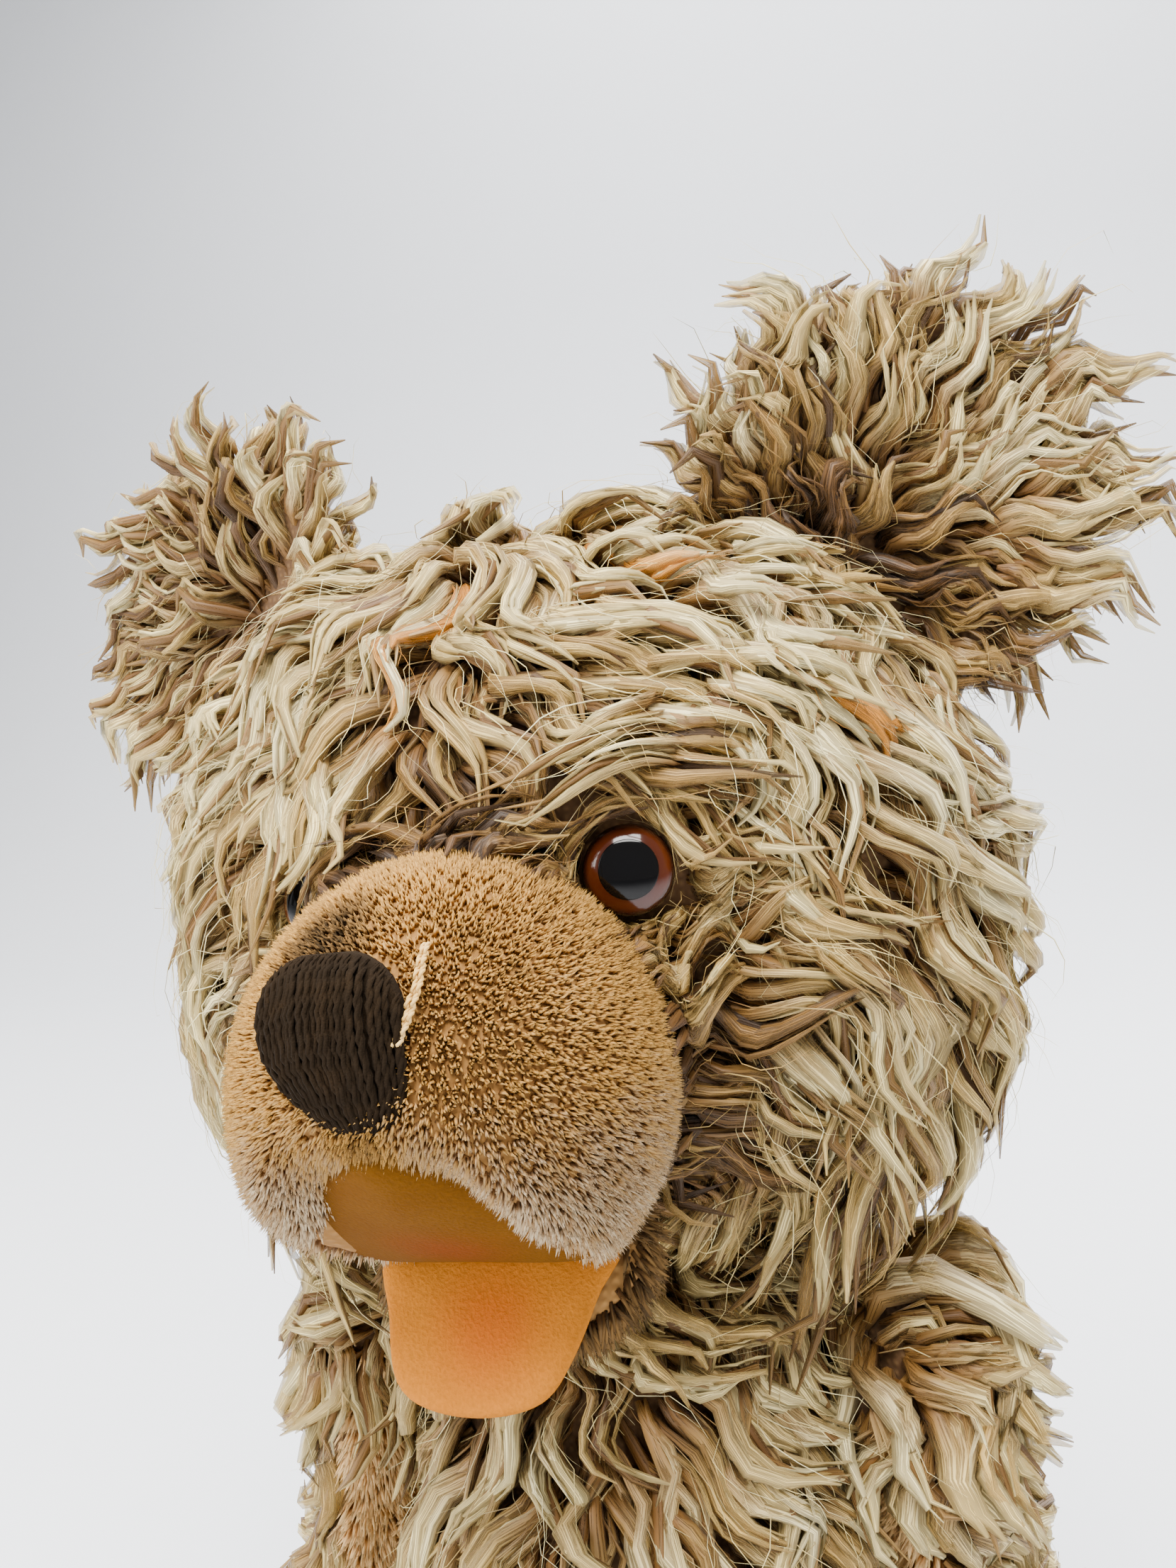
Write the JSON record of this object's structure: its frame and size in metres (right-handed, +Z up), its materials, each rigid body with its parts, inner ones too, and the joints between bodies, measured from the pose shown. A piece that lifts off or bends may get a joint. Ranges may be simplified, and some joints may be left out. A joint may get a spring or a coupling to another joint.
{
  "type": "teddy bear",
  "caption": "Worn seated teddy bear in long curly pile, with an open felt mouth, stitched nose, glass eyes and disc-jointed head, arms and legs.",
  "frame": {"origin": "on the flat seat under the neck, in the torso's plane of symmetry", "axes": "+Z up from the floor, -Y the way the torso and face look, +X the bear's left"},
  "size_m": [0.1887, 0.1865, 0.2837],
  "materials": {
    "long_mohair": "long wavy cream pile with brown roots, matted and soiled",
    "short_pile": "short golden tan pile, rubbed thin and dirty over the nose",
    "inner_arm_pile": "short peach pile",
    "mouth_felt": "orange wool felt, shaded darker in the middle",
    "pad_felt": "tan wool felt",
    "nose_thread": "dark brown cotton thread, satin stitch",
    "amber_glass": "dark amber glass",
    "black_glass": "black glass",
    "steel_wire": "dull drawn steel",
    "fibre_board": "brown pressed fibre board"
  },
  "bodies": {
    "torso": {"torso": "long_mohair", "neck_body_disc": "fibre_board", "neck_body_washer": "steel_wire", "shoulder_left_body_disc": "fibre_board", "shoulder_left_body_washer": "steel_wire", "shoulder_right_body_disc": "fibre_board", "shoulder_right_body_washer": "steel_wire", "hip_left_body_disc": "fibre_board", "hip_left_body_washer": "steel_wire", "hip_right_body_disc": "fibre_board", "hip_right_body_washer": "steel_wire"},
    "head": {"head": "long_mohair", "muzzle": "short_pile", "chin": "short_pile", "mouth_roof_felt": "mouth_felt", "mouth_floor_felt": "mouth_felt", "nose_stitching": "nose_thread", "ear_left": "long_mohair", "ear_right": "long_mohair", "eye_left": "amber_glass", "eye_right": "amber_glass", "pupil_left": "black_glass", "pupil_right": "black_glass", "eye_wire_left": "steel_wire", "eye_wire_right": "steel_wire", "neck_head_disc": "fibre_board", "neck_head_washer": "steel_wire", "neck_cotter_pin": "steel_wire"},
    "arm_left": {"arm_left": "long_mohair", "arm_inner_left": "inner_arm_pile", "paw_pad_left": "pad_felt", "shoulder_left_arm_disc": "fibre_board", "shoulder_left_arm_washer": "steel_wire", "shoulder_left_cotter_pin": "steel_wire"},
    "arm_right": {"arm_right": "long_mohair", "arm_inner_right": "inner_arm_pile", "paw_pad_right": "pad_felt", "shoulder_right_arm_disc": "fibre_board", "shoulder_right_arm_washer": "steel_wire", "shoulder_right_cotter_pin": "steel_wire"},
    "leg_left": {"leg_left": "long_mohair", "foot_pad_left": "pad_felt", "hip_left_leg_disc": "fibre_board", "hip_left_leg_washer": "steel_wire", "hip_left_cotter_pin": "steel_wire"},
    "leg_right": {"leg_right": "long_mohair", "foot_pad_right": "pad_felt", "hip_right_leg_disc": "fibre_board", "hip_right_leg_washer": "steel_wire", "hip_right_cotter_pin": "steel_wire"}
  },
  "joints": [
    {"name": "neck_swivel", "type": "hinge", "parent": "torso", "child": "head", "pos_m": [0, 0.002, 0.137], "axis": [-0.0698, 0, 0.9976], "continuous": true},
    {"name": "shoulder_left_swing", "type": "hinge", "parent": "torso", "child": "arm_left", "pos_m": [0.036, 0.006, 0.108], "axis": [1, 0, 0], "range_deg": [-95, 25]},
    {"name": "shoulder_right_swing", "type": "hinge", "parent": "torso", "child": "arm_right", "pos_m": [-0.036, 0.006, 0.108], "axis": [1, 0, 0], "range_deg": [-95, 25]},
    {"name": "hip_left_swing", "type": "hinge", "parent": "torso", "child": "leg_left", "pos_m": [0.023, -0.017, 0.03], "axis": [1, 0, 0], "range_deg": [-15, 90]},
    {"name": "hip_right_swing", "type": "hinge", "parent": "torso", "child": "leg_right", "pos_m": [-0.023, -0.017, 0.03], "axis": [1, 0, 0], "range_deg": [-15, 90]}
  ]
}
